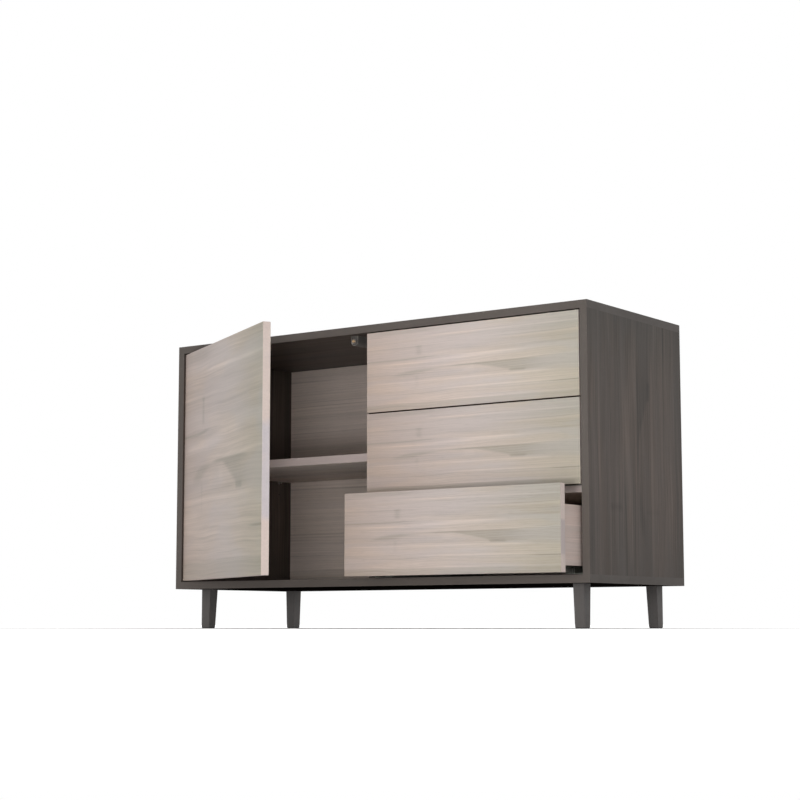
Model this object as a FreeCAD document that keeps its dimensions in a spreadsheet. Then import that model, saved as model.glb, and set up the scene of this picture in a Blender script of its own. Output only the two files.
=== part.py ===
import FreeCAD, Part
import os
import re
import Sketcher

# A free-standing sideboard: a dark carcass on four tapered legs, a hinged door over a shelf bay on the
# left and three drawers on undermount slides on the right.
# Frame: +Z up, the fronts face -Y, the origin is on the floor under the middle of the carcass.
# The door stands part open and the lower drawer is pulled out, as the piece is shown.

# Driving dimensions, in millimetres and degrees, one cell of the sheet each
SIZES = {
    # carcass
    "carcass_width": 1200.0,
    "carcass_depth": 440.0,
    "carcass_height": 617.0,
    "floor_clearance": 98.0,
    "board": 18.0,
    "back_thickness": 6.0,
    "back_rabbet": 9.0,
    "inner_setback": 22.0,
    "drawer_divider": 15.0,
    "divider_drop": 1.7,
    # adjustable shelf and its pins
    "shelf_thickness": 19.0,
    "shelf_height": 276.7,
    "shelf_play": 1.0,
    "pin_radius": 2.5,
    "pin_hole_depth": 9.0,
    "pin_hole_pitch": 32.0,
    "pin_row_inset": 50.0,
    "pin_collar": 0.8,
    "pin_collar_radius": 4.0,
    "pin_peg": 8.0,
    # legs
    "leg_top": 28.0,
    "leg_foot": 24.0,
    "leg_side_inset": 44.0,
    "leg_front_inset": 50.0,
    "leg_rear_inset": 26.0,
    "glide_thickness": 2.0,
    "glide_margin": 1.0,
    "leg_bolt_radius": 4.0,
    "leg_bolt_in_leg": 34.0,
    "leg_bolt_in_board": 13.0,
    # dowels of the carcass joints
    "dowel_radius": 4.0,
    "dowel_length": 24.0,
    "dowel_in_face": 10.0,
    "dowel_in_divider": 7.0,
    "dowel_inset": 45.0,
    # door and drawer fronts
    "front_thickness": 19.0,
    "front_gap": 3.0,
    "front_edge_chamfer": 0.6,
    "door_rest_angle": 30.1,
    # hinges: the pin's axis lies inside the door's thickness
    "hinge_pin_inset": 12.0,
    "hinge_pin_depth": 7.0,
    "hinge_from_end": 90.0,
    "hinge_pin_radius": 1.5,
    "hinge_pin_play": 0.05,
    "hinge_play": 0.4,
    "hinge_arm_plate": 4.4,
    "hinge_arm_width": 12.0,
    "hinge_arm_length": 68.0,
    "hinge_arm_height": 8.0,
    "hinge_arm_sheet": 1.5,
    "arm_screw_radius": 2.4,
    "arm_screw_play": 0.1,
    "arm_screw_head": 1.2,
    "arm_screw_head_radius": 3.4,
    "arm_screw_inset": 12.0,
    "hinge_plate": 4.0,
    "hinge_plate_centre": 30.0,
    "hinge_plate_width": 16.0,
    "hinge_plate_length": 52.0,
    "hinge_plate_rib": 14.0,
    "hinge_screw_spread": 36.0,
    "hinge_screw_radius": 1.9,
    "hinge_screw_length": 13.0,
    "hinge_screw_head_radius": 3.6,
    "hinge_screw_head": 1.8,
    "cup_radius": 17.5,
    "cup_wall": 1.0,
    "cup_floor": 0.8,
    "cup_depth": 15.6,
    "cup_pin_cover": 0.1,
    "cup_tab": 3.0,
    "cup_flange": 1.2,
    "cup_flange_radius": 19.0,
    "cup_ear_width": 13.0,
    "cup_ear_length": 58.0,
    "cup_screw_spread": 48.0,
    # touch latch under the top panel
    "latch_from_divider": 46.0,
    "latch_drop": 13.0,
    "latch_tip_play": 0.4,
    "latch_tip_out": 3.0,
    "latch_tube_radius": 6.75,
    "latch_tube_out": 2.5,
    "latch_bracket_radius": 10.5,
    "latch_length": 46.0,
    "latch_strap": 1.6,
    "latch_recess": 6.0,
    "latch_base": 3.0,
    "latch_base_length": 14.0,
    "latch_screw_spread": 11.0,
    "plunger_radius": 3.7,
    "plunger_play": 0.05,
    "plunger_length": 30.0,
    "strike_radius": 7.0,
    "strike_thickness": 1.0,
    # drawer boxes
    "drawer_rest_pull": 86.0,
    "box_side_thickness": 15.0,
    "box_top_drop": 44.0,
    "box_side_rise": 15.5,
    "box_rear_gap": 25.0,
    "box_play": 6.0,
    "box_bottom_thickness": 8.0,
    "box_bottom_recess": 12.5,
    "box_groove": 5.0,
    # telescopic undermount slides, in section
    "slide_sheet": 1.5,
    "slide_play": 0.4,
    "slide_near_wall": 32.5,
    "slide_width": 55.0,
    "slide_channel_height": 14.0,
    "slide_flange_height": 24.0,
    "slide_lip": 5.0,
    "slide_below_front": 1.0,
    "slide_rear_gap": 32.0,
    "slide_middle_shortening": 80.0,
    "slide_middle_setback": 38.0,
    "slide_front_play": 1.0,
    "slide_screw_radius": 2.0,
    "slide_screw_length": 13.0,
    "slide_screw_head_radius": 4.0,
    "slide_screw_head": 1.8,
    "slide_screw_inset": 40.0,
    "slide_screw_level": 17.0,
    # every cut runs past the solid by this much
    "overrun": 1.0,
}

# Places and sizes that follow from the driving ones
PLACES = {
    "front_plane": "-carcass_depth / 2",
    "inner_front": "front_plane + inner_setback",
    "back_inside": "carcass_depth / 2 - back_thickness",
    "side_inside": "carcass_width / 2 - board",
    "bay_floor": "floor_clearance + board",
    "bay_ceiling": "floor_clearance + carcass_height - board",
    "bay_height": "carcass_height - 2 * board",
    "bay_width": "side_inside - board / 2",
    "drawer_bay_centre": "side_inside - bay_width / 2",
    "inner_depth": "back_inside - inner_front",
    "front_width": "(2 * side_inside - 3 * front_gap) / 2",
    "front_height": "(bay_height - 4 * front_gap) / 3",
    "front_pitch": "front_height + front_gap",
    "door_height": "bay_height - 2 * front_gap",
    "drawer_front_centre": "side_inside - front_gap - front_width / 2",
    "leg_length": "floor_clearance - glide_thickness",
    "leg_group_centre": "(leg_front_inset - leg_rear_inset) / 2",
    "leg_group_half_depth": "(carcass_depth - leg_front_inset - leg_rear_inset) / 2",
    "leg_group_half_width": "carcass_width / 2 - leg_side_inset",
    "shelf_width": "bay_width - 2 * shelf_play",
    "shelf_depth": "inner_depth - shelf_play",
    "shelf_underside": "bay_floor + shelf_height",
    "hinge_x": "-side_inside + hinge_pin_inset",
    "hinge_y": "front_plane + hinge_pin_depth",
    "door_edge_offset": "hinge_pin_inset - front_gap",
    "door_back_offset": "front_thickness - hinge_pin_depth",
    "arm_reach": "sqrt(door_edge_offset ^ 2 + (door_back_offset + cup_flange) ^ 2) + hinge_play",
    "arm_wall_side": "hinge_plate - hinge_pin_inset",
    "arm_room_side": "arm_wall_side + hinge_arm_height",
    "cup_centre": "cup_tab + cup_radius - door_edge_offset",
    "pin_half_length": "sqrt(cup_radius ^ 2 - (cup_centre + hinge_pin_radius) ^ 2) - cup_pin_cover",
    "latch_x": "-board / 2 - latch_from_divider",
    "latch_z": "bay_ceiling - latch_drop",
    "latch_tip_y": "front_plane + front_thickness + strike_thickness + latch_tip_play",
    "latch_front_y": "latch_tip_y + latch_tip_out",
    "box_half_width": "bay_width / 2 - box_play",
    "box_inside_width": "2 * (box_half_width - box_side_thickness)",
    "slide_base_to_bottom": "slide_below_front + box_side_rise + box_bottom_recess",
    "slide_front": "inner_front",
    "slide_length": "inner_depth - slide_rear_gap",
    "slide_middle_length": "slide_length - slide_middle_shortening",
    "box_side_height": "front_height - box_side_rise - box_top_drop",
    "box_length": "back_inside - front_plane - front_thickness - box_rear_gap",
}

UP = FreeCAD.Vector(0, 0, 1)

doc = FreeCAD.newDocument("Sideboard")
parts = []


def fill_sheet():
    """One row of the sheet for each driving dimension: its name, its value and its alias."""
    sheet = doc.addObject("Spreadsheet::Sheet", "Sizes")
    for row, (name, value) in enumerate(SIZES.items(), start=1):
        sheet.set(f"A{row}", name)
        sheet.set(f"B{row}", str(value))
        sheet.setAlias(f"B{row}", name)
    doc.recompute()


def formula(text):
    """The text with every place written out and every size pointing at its cell."""

    def written_out(match):
        word = match.group(0)
        if word in PLACES:
            return "(" + formula(PLACES[word]) + ")"
        return "Sizes." + word if word in SIZES else word

    return re.sub(r"[a-z_]+", written_out, text)


def new_body(label, place, turn="0"):
    """An empty body with its origin at the place, turned about +Z, that becomes a sub-part."""
    body = doc.addObject("PartDesign::Body", label)
    body.Label = label
    if turn != "0":
        body.Placement = FreeCAD.Placement(FreeCAD.Vector(), FreeCAD.Rotation(UP, 1))
        body.setExpression("Placement.Rotation.Angle", formula(turn))
    for axis, value in zip("xyz", place):
        body.setExpression("Placement.Base." + axis, formula(value))
    parts.append(body)
    return body


def origin_plane(body, role):
    return next(f for f in body.Origin.OriginFeatures if f.Role == role)


def new_sketch(body, role, level="0"):
    """A sketch on one of the body's own origin planes, or the level away along its normal."""
    sketch = body.newObject("Sketcher::SketchObject", "Outline")
    sketch.AttachmentSupport = [(origin_plane(body, role), "")]
    sketch.MapMode = "FlatFace"
    if level != "0":
        sketch.setExpression("AttachmentOffset.Base.z", formula(level))
    return sketch


def bind_point(sketch, geometry, point, corner):
    """Hold one point of the sketch at its two places."""
    for letter, origin_line, value in zip("XY", (-2, -1), corner):
        if value == "0":
            sketch.addConstraint(Sketcher.Constraint("PointOnObject", geometry, point, origin_line))
            continue
        index = sketch.addConstraint(Sketcher.Constraint("Distance" + letter, geometry, point, 1))
        name = f"{letter.lower()}_of_{geometry}"
        sketch.renameConstraint(index, name)
        sketch.setExpression("Constraints." + name, formula(value))


def draw_outline(sketch, corners):
    """A closed outline of straight lines through the corners."""
    first = sketch.GeometryCount
    count = len(corners)
    guesses = [FreeCAD.Vector(i, i * i, 0) for i in range(count)]
    for i in range(count):
        sketch.addGeometry(Part.LineSegment(guesses[i], guesses[(i + 1) % count]), False)
    for i in range(count):
        following = first + (i + 1) % count
        sketch.addConstraint(Sketcher.Constraint("Coincident", first + i, 2, following, 1))
        bind_point(sketch, first + i, 1, corners[i])


def draw_rectangle(sketch, low, high):
    draw_outline(sketch, [low, (high[0], low[1]), high, (low[0], high[1])])


def draw_circle(sketch, centre, radius):
    """A circle, its centre held at its two places and its radius bound."""
    index = sketch.addGeometry(Part.Circle(FreeCAD.Vector(1, 1, 0), UP, 1), False)
    bind_point(sketch, index, 3, centre)
    name = f"radius_of_{index}"
    sketch.renameConstraint(sketch.addConstraint(Sketcher.Constraint("Radius", index, 1)), name)
    sketch.setExpression("Constraints." + name, formula(radius))


def pad(body, sketch, length, backwards=False):
    """Add the sketch's outline, drawn out along its normal or, backwards, against it."""
    feature = body.newObject("PartDesign::Pad", "Pad")
    feature.Profile = sketch
    feature.Reversed = backwards
    feature.setExpression("Length", formula(length))
    doc.recompute()
    return feature


def cut(body, sketch, depth, forwards=False):
    """Take the sketch's outline away, against its normal or, forwards, along it."""
    before = body.Shape.Volume
    feature = body.newObject("PartDesign::Pocket", "Pocket")
    feature.Profile = sketch
    feature.Reversed = forwards
    feature.setExpression("Length", formula(depth))
    doc.recompute()
    if not body.Shape.Volume < before:
        raise RuntimeError("a cut misses " + body.Label)
    return feature


def mirror(body, features, *roles):
    """Repeat the features across the body's own origin planes, one after the other."""
    group = body.newObject("PartDesign::MultiTransform", "Repeat")
    group.Originals = features
    steps = []
    for role in roles:
        step = body.newObject("PartDesign::Mirrored", "Mirror")
        step.MirrorPlane = (origin_plane(body, role), [""])
        steps.append(step)
    group.Transformations = steps
    body.Tip = group
    doc.recompute()


def drill(body, role, level, depth, radius, places, forwards=False):
    """Round holes at the places of one plane of the body."""
    sketch = new_sketch(body, role, level)
    for place in places:
        draw_circle(sketch, place, radius)
    return cut(body, sketch, depth, forwards)


def add_pins(body, role, start, length, radius, places):
    """Round pins at the places of one plane of the body, from a start along the plane's normal."""
    sketch = new_sketch(body, role, start)
    for place in places:
        draw_circle(sketch, place, radius)
    return pad(body, sketch, length)


def board(label, place, size, turn="0"):
    """A rectangular board from its low corner and its three sizes."""
    body = new_body(label, place, turn)
    sketch = new_sketch(body, "XY_Plane")
    draw_rectangle(sketch, ("0", "0"), (size[0], size[1]))
    pad(body, sketch, size[2])
    return body


def soften_edges(body, size):
    """A small chamfer on every edge of the body as it is now."""
    base = body.Tip
    feature = body.newObject("PartDesign::Chamfer", "Edges")
    feature.Base = (base, [""])
    feature.UseAllEdges = True
    feature.setExpression("Size", formula(size))
    doc.recompute()


def side_panel(label, side):
    """A side of the carcass between the top and bottom panels, with a rabbet for the back."""
    body = new_body(label, (f"{side} * carcass_width / 2", "front_plane", "bay_floor"))
    inner = f"-1 * {side} * board"
    rabbet = f"-1 * {side} * (board - back_rabbet)"
    rabbet_front = "carcass_depth - back_thickness"
    sketch = new_sketch(body, "XY_Plane")
    draw_outline(sketch, [
        ("0", "0"), (inner, "0"), (inner, rabbet_front),
        (rabbet, rabbet_front), (rabbet, "carcass_depth"), ("0", "carcass_depth"),
    ])
    pad(body, sketch, "bay_height")
    return body


def shelf_pin_places(front_offset, underside):
    """Centres of the shelf pin holes: two columns of three, the shelf's own row in the middle."""
    rows = (f"{underside} - pin_radius", f"{underside} - pin_radius - pin_hole_pitch",
            f"{underside} - pin_radius + pin_hole_pitch")
    columns = (f"{front_offset} + pin_row_inset", f"{front_offset} + inner_depth - pin_row_inset")
    return [(column, row) for column in columns for row in rows]


def drill_pin_holes(body, level, front_offset, forwards):
    """The rows of shelf pin holes in a face that looks along X."""
    places = shelf_pin_places(front_offset, "shelf_height")
    drill(body, "YZ_Plane", level, "pin_hole_depth", "pin_radius", places, forwards)


def end_panel(label, z, rabbet_z):
    """The top or bottom panel, over the ends of the sides, with a stopped rabbet for the back."""
    body = board(label, ("-carcass_width / 2", "front_plane", z), ("carcass_width", "carcass_depth", "board"))
    sketch = new_sketch(body, "XZ_Plane", "-carcass_depth")
    draw_rectangle(sketch, ("board - back_rabbet", rabbet_z[0]),
                   ("carcass_width - board + back_rabbet", rabbet_z[1]))
    cut(body, sketch, "back_thickness", forwards=True)
    return body


def make_carcass():
    """Top, bottom, sides, back and the fixed inner boards."""
    end_panel("top_panel", "bay_ceiling", ("-overrun", "back_rabbet"))
    end_panel("bottom_panel", "floor_clearance", ("board - back_rabbet", "board + overrun"))
    left = side_panel("side_panel_left", -1)
    drill_pin_holes(left, "board", "inner_setback", forwards=False)
    side_panel("side_panel_right", 1)
    board("back_panel",
          ("-side_inside - back_rabbet", "back_inside", "bay_floor - back_rabbet"),
          ("2 * (side_inside + back_rabbet)", "back_thickness", "bay_height + 2 * back_rabbet"))
    divider = board("vertical_divider", ("-board / 2", "inner_front", "bay_floor"),
                    ("board", "inner_depth", "bay_height"))
    drill_pin_holes(divider, "0", "0", forwards=True)
    for label, fronts_below in (("drawer_divider_lower", 1), ("drawer_divider_upper", 2)):
        top = f"bay_floor + front_gap + {fronts_below} * front_pitch - divider_drop"
        board(label, ("board / 2", "inner_front", top + " - drawer_divider"),
              ("bay_width", "inner_depth", "drawer_divider"))


def make_shelf():
    """The loose shelf of the door bay and the four pins that it lies on."""
    board("adjustable_shelf", ("-side_inside + shelf_play", "inner_front", "shelf_underside"),
          ("shelf_width", "shelf_depth", "shelf_thickness"))
    body = new_body("shelf_pins", ("-board / 2 - bay_width / 2", "inner_front + inner_depth / 2",
                                   "shelf_underside - pin_radius"))
    place = [("inner_depth / 2 - pin_row_inset", "0")]
    peg = add_pins(body, "YZ_Plane", "bay_width / 2 - pin_peg", "pin_peg + pin_hole_depth",
                   "pin_radius", place)
    collar = add_pins(body, "YZ_Plane", "bay_width / 2 - pin_collar", "pin_collar",
                      "pin_collar_radius", place)
    mirror(body, [peg, collar], "YZ_Plane", "XZ_Plane")


def make_legs():
    """Four legs, square in section, tapered on their two inner faces, with bolts and glides."""
    corners = (
        ("leg_front_left", "-leg_group_half_width", "-leg_group_half_depth", "0"),
        ("leg_front_right", "leg_group_half_width", "-leg_group_half_depth", "90"),
        ("leg_rear_right", "leg_group_half_width", "leg_group_half_depth", "180"),
        ("leg_rear_left", "-leg_group_half_width", "leg_group_half_depth", "270"),
    )
    for label, x, y, turn in corners:
        body = new_body(label, (x, "leg_group_centre + " + y, "glide_thickness"), turn)
        foot = new_sketch(body, "XY_Plane")
        draw_rectangle(foot, ("0", "0"), ("leg_foot", "leg_foot"))
        head = new_sketch(body, "XY_Plane", "leg_length")
        draw_rectangle(head, ("0", "0"), ("leg_top", "leg_top"))
        taper = body.newObject("PartDesign::AdditiveLoft", "Taper")
        taper.Profile = foot
        taper.Sections = [head]
        taper.Ruled = True
        doc.recompute()

    body = new_body("foot_glides", ("0", "leg_group_centre", "0"))
    sketch = new_sketch(body, "XY_Plane")
    outer = ("leg_group_half_width - glide_margin", "leg_group_half_depth - glide_margin")
    inner = ("leg_group_half_width - leg_foot + glide_margin",
             "leg_group_half_depth - leg_foot + glide_margin")
    draw_rectangle(sketch, inner, outer)
    mirror(body, [pad(body, sketch, "glide_thickness")], "YZ_Plane", "XZ_Plane")

    body = new_body("leg_bolts", ("0", "leg_group_centre", "floor_clearance"))
    place = ("leg_group_half_width - leg_top / 2", "leg_group_half_depth - leg_top / 2")
    bolt = add_pins(body, "XY_Plane", "-leg_bolt_in_leg", "leg_bolt_in_leg + leg_bolt_in_board",
                    "leg_bolt_radius", [place])
    mirror(body, [bolt], "YZ_Plane", "XZ_Plane")


def make_drawer(name, fronts_below, pull):
    """One drawer: its front, the box behind it and the slide members that it runs on."""
    front_z = f"bay_floor + front_gap + {fronts_below} * front_pitch"
    box_z = front_z + " + box_side_rise"
    box_front = f"front_plane + front_thickness - {pull}"

    front = board(f"{name}_drawer_front",
                  ("drawer_front_centre - front_width / 2", f"front_plane - {pull}", front_z),
                  ("front_width", "front_thickness", "front_height"))
    soften_edges(front, "front_edge_chamfer")
    groove = new_sketch(front, "XZ_Plane", "-front_thickness")
    centre = "(front_width / 2 + drawer_bay_centre - drawer_front_centre)"
    draw_rectangle(groove,
                   (f"{centre} - box_inside_width / 2 - box_groove", "box_side_rise + box_bottom_recess"),
                   (f"{centre} + box_inside_width / 2 + box_groove",
                    "box_side_rise + box_bottom_recess + box_bottom_thickness"))
    cut(front, groove, "box_groove", forwards=True)

    for hand, side in (("left", -1), ("right", 1)):
        body = new_body(f"{name}_drawer_side_{hand}",
                        (f"drawer_bay_centre + {side} * box_half_width", box_front, box_z))
        face = f"-1 * {side} * box_side_thickness"
        floor = f"-1 * {side} * (box_side_thickness - box_groove)"
        groove_top = "box_bottom_recess + box_bottom_thickness"
        sketch = new_sketch(body, "XZ_Plane")
        draw_outline(sketch, [
            ("0", "0"), (face, "0"), (face, "box_bottom_recess"), (floor, "box_bottom_recess"),
            (floor, groove_top), (face, groove_top), (face, "box_side_height"), ("0", "box_side_height"),
        ])
        pad(body, sketch, "box_length", backwards=True)

    board(f"{name}_drawer_bottom",
          ("drawer_bay_centre - box_inside_width / 2 - box_groove", box_front + " - box_groove",
           box_z + " + box_bottom_recess"),
          ("box_inside_width + 2 * box_groove", "box_length + box_groove", "box_bottom_thickness"))
    board(f"{name}_drawer_back",
          ("drawer_bay_centre - box_inside_width / 2", box_front + " + box_length - box_side_thickness",
           box_z + " + box_bottom_recess + box_bottom_thickness"),
          ("box_inside_width", "box_side_thickness",
           "box_side_height - box_bottom_recess - box_bottom_thickness"))
    make_slides(name, front_z + " - slide_below_front", pull)


def slide_section(body, corners):
    """Draw one slide member in section: across from the wall it hangs on, and up from its base."""
    sketch = new_sketch(body, "XZ_Plane")
    draw_outline(sketch, [(f"bay_width / 2 - ({across})", up) for across, up in corners])
    return sketch


def slide_screw_places(base):
    """Centres of the two screws through a slide's flange, the base's height above the sketch's own."""
    return [(line, f"{base} + slide_screw_level")
            for line in ("slide_screw_inset", "slide_length - slide_screw_inset")]


def make_slides(name, base, pull):
    """The pair of telescopic slides of one drawer: cabinet, middle and drawer members."""
    sheet, play, lip = "slide_sheet", "slide_play", "slide_lip"
    near, far, height = "slide_near_wall", "slide_width", "slide_channel_height"
    places = {
        "cabinet": ("slide_front", "slide_length"),
        "middle": (f"slide_front + slide_middle_setback - {pull} / 2", "slide_middle_length"),
        "drawer": (f"front_plane + front_thickness + slide_front_play - {pull}", "slide_length"),
    }

    # a flange on the wall, a floor and a channel with lips turned in over the middle member
    cabinet = [
        ("0", "0"), (far, "0"), (far, height), (f"{far} - {lip}", height),
        (f"{far} - {lip}", f"{height} - {sheet}"), (f"{far} - {sheet}", f"{height} - {sheet}"),
        (f"{far} - {sheet}", sheet), (f"{near} + {sheet}", sheet),
        (f"{near} + {sheet}", f"{height} - {sheet}"), (f"{near} + {lip}", f"{height} - {sheet}"),
        (f"{near} + {lip}", height), (near, height), (near, sheet), (sheet, sheet),
        (sheet, "slide_flange_height"), ("0", "slide_flange_height"),
    ]

    # a channel that runs inside the cabinet member's, with lips of its own
    left, right = f"({near} + {sheet} + {play})", f"({far} - {sheet} - {play})"
    low, high = f"({sheet} + {play})", f"({height} - {sheet} - {play})"
    middle = [
        (left, low), (right, low), (right, high), (f"{right} - {lip}", high),
        (f"{right} - {lip}", f"{high} - {sheet}"), (f"{right} - {sheet}", f"{high} - {sheet}"),
        (f"{right} - {sheet}", f"{low} + {sheet}"), (f"{left} + {sheet}", f"{low} + {sheet}"),
        (f"{left} + {sheet}", f"{high} - {sheet}"), (f"{left} + {lip}", f"{high} - {sheet}"),
        (f"{left} + {lip}", high), (left, high),
    ]

    # a foot held inside the middle member, a stem and a plate under the drawer's bottom
    foot_left, foot_right = f"({left} + {sheet} + {play})", f"({right} - {sheet} - {play})"
    foot_low, foot_high = f"({low} + {sheet} + {play})", f"({high} - {sheet} - {play})"
    stem, top = f"(({near} + {far}) / 2)", "slide_base_to_bottom"
    drawer = [
        (foot_left, foot_low), (f"{foot_left} + {sheet}", foot_low),
        (f"{foot_left} + {sheet}", f"{foot_high} - {sheet}"),
        (f"{foot_right} - {sheet}", f"{foot_high} - {sheet}"), (f"{foot_right} - {sheet}", foot_low),
        (foot_right, foot_low), (foot_right, foot_high), (f"{stem} + {sheet}", foot_high),
        (f"{stem} + {sheet}", f"{top} - {sheet}"), (far, f"{top} - {sheet}"), (far, top),
        (near, top), (near, f"{top} - {sheet}"), (f"{stem} - {sheet}", f"{top} - {sheet}"),
        (f"{stem} - {sheet}", foot_high), (foot_left, foot_high),
    ]

    for member, corners in (("cabinet", cabinet), ("middle", middle), ("drawer", drawer)):
        start, length = places[member]
        body = new_body(f"{name}_slide_{member}_members", ("drawer_bay_centre", start, base))
        features = [pad(body, slide_section(body, corners), length, backwards=True)]
        if member == "cabinet":
            features.append(drill(body, "YZ_Plane", "bay_width / 2", "slide_sheet + overrun",
                                  "slide_screw_radius", slide_screw_places("0")))
        mirror(body, features, "YZ_Plane")


def make_door():
    """The door, its hinges and its strike plate, all turned open about the hinge pins' axis."""
    door_z = "bay_floor + front_gap"
    open_turn = "-door_rest_angle"
    hinge_levels = (("lower", "hinge_from_end"), ("upper", "door_height - hinge_from_end"))

    door = new_body("door_panel", ("hinge_x", "hinge_y", door_z), open_turn)
    sketch = new_sketch(door, "XY_Plane")
    draw_rectangle(sketch, ("-door_edge_offset", "-hinge_pin_depth"),
                   ("front_width - door_edge_offset", "door_back_offset"))
    pad(door, sketch, "door_height")
    soften_edges(door, "front_edge_chamfer")
    sketch = new_sketch(door, "XZ_Plane", "-door_back_offset")
    for _, level in hinge_levels:
        draw_circle(sketch, ("cup_centre", level), "cup_radius")
    cut(door, sketch, "cup_depth", forwards=True)

    for name, level in hinge_levels:
        make_hinge(name, f"{door_z} + {level}", open_turn)

    strike = new_body("strike_plate", ("hinge_x", "hinge_y", "latch_z"), open_turn)
    sketch = new_sketch(strike, "XZ_Plane", "-door_back_offset")
    draw_circle(sketch, ("latch_x - hinge_x", "0"), "strike_radius")
    pad(strike, sketch, "strike_thickness", backwards=True)


def arm_screw_lines():
    """How far behind the hinge's pin its arm's two adjusting screws are."""
    return ("hinge_plate_centre", "hinge_arm_length - arm_screw_inset")


def make_hinge(name, z, open_turn):
    """One concealed hinge: a cup and its pin in the door, a swan-neck arm on a plate on the side."""
    cup = new_body(f"hinge_cup_{name}", ("hinge_x", "hinge_y", z), open_turn)
    sketch = new_sketch(cup, "XZ_Plane", "-door_back_offset")
    draw_circle(sketch, ("cup_centre", "0"), "cup_radius")
    pad(cup, sketch, "cup_depth")
    sketch = new_sketch(cup, "XZ_Plane", "-door_back_offset")
    draw_rectangle(sketch, ("cup_centre - cup_ear_width / 2", "-cup_ear_length / 2"),
                   ("cup_centre + cup_ear_width / 2", "cup_ear_length / 2"))
    pad(cup, sketch, "cup_flange", backwards=True)
    sketch = new_sketch(cup, "XZ_Plane", "-door_back_offset")
    draw_circle(sketch, ("cup_centre", "0"), "cup_flange_radius")
    pad(cup, sketch, "cup_flange", backwards=True)
    sketch = new_sketch(cup, "XZ_Plane", "-door_back_offset + cup_depth - cup_floor")
    draw_circle(sketch, ("cup_centre", "0"), "cup_radius - cup_wall")
    cut(cup, sketch, "cup_depth + cup_flange + overrun")
    drill(cup, "XZ_Plane", "-door_back_offset", "cup_flange + overrun", "hinge_screw_radius",
          [("cup_centre", f"{sign}cup_screw_spread / 2") for sign in ("-", "")])

    pin = new_body(f"hinge_pin_{name}", ("hinge_x", "hinge_y", z), open_turn)
    add_pins(pin, "XY_Plane", "-pin_half_length", "2 * pin_half_length", "hinge_pin_radius", [("0", "0")])

    arm = new_body(f"hinge_arm_{name}", ("hinge_x", "hinge_y", z))
    half, outside = "hinge_arm_plate / 2", "arm_reach + hinge_arm_plate"
    sketch = new_sketch(arm, "XY_Plane", "-hinge_arm_width / 2")
    draw_outline(sketch, [
        ("0", "-" + half), (outside, "-" + half), (outside, outside), ("arm_room_side", outside),
        ("arm_room_side", "hinge_arm_length"), ("arm_wall_side", "hinge_arm_length"),
        ("arm_wall_side", "arm_reach"), ("arm_reach", "arm_reach"), ("arm_reach", half), ("0", half),
    ])
    pad(arm, sketch, "hinge_arm_width")
    sketch = new_sketch(arm, "XY_Plane", "-hinge_arm_width / 2")
    draw_circle(sketch, ("0", "0"), half)
    pad(arm, sketch, "hinge_arm_width")
    drill(arm, "XY_Plane", "hinge_arm_width / 2 + overrun", "hinge_arm_width + 2 * overrun",
          "hinge_pin_radius + hinge_pin_play", [("0", "0")])
    sketch = new_sketch(arm, "YZ_Plane", "arm_wall_side")
    draw_rectangle(sketch, (outside, "hinge_arm_sheet - hinge_arm_width / 2"),
                   ("hinge_arm_length + overrun", "hinge_arm_width / 2 - hinge_arm_sheet"))
    cut(arm, sketch, "hinge_arm_height - hinge_arm_sheet", forwards=True)
    drill(arm, "YZ_Plane", "arm_room_side", "hinge_arm_sheet", "arm_screw_radius + arm_screw_play",
          [(line, "0") for line in arm_screw_lines()])

    plate = new_body(f"hinge_plate_{name}", ("-side_inside", "hinge_y", z))
    front, back = "hinge_plate_centre - hinge_plate_width / 2", "hinge_plate_centre + hinge_plate_width / 2"
    wing, rib = "hinge_plate_length / 2", "hinge_plate_rib / 2"
    sketch = new_sketch(plate, "YZ_Plane")
    draw_outline(sketch, [
        (front, "-" + wing), (back, "-" + wing), (back, "-" + rib), ("hinge_arm_length", "-" + rib),
        ("hinge_arm_length", rib), (back, rib), (back, wing), (front, wing),
    ])
    pad(plate, sketch, "hinge_plate")
    drill(plate, "YZ_Plane", "hinge_plate", "hinge_plate + overrun", "hinge_screw_radius",
          [("hinge_plate_centre", f"{sign}hinge_screw_spread / 2") for sign in ("-", "")])


def latch_screw_places():
    """Centres of the two screws behind the latch's bracket."""
    line = "latch_tube_out + latch_length + latch_base_length / 2"
    return [(f"{sign}latch_screw_spread / 2", line) for sign in ("-", "")]


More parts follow.
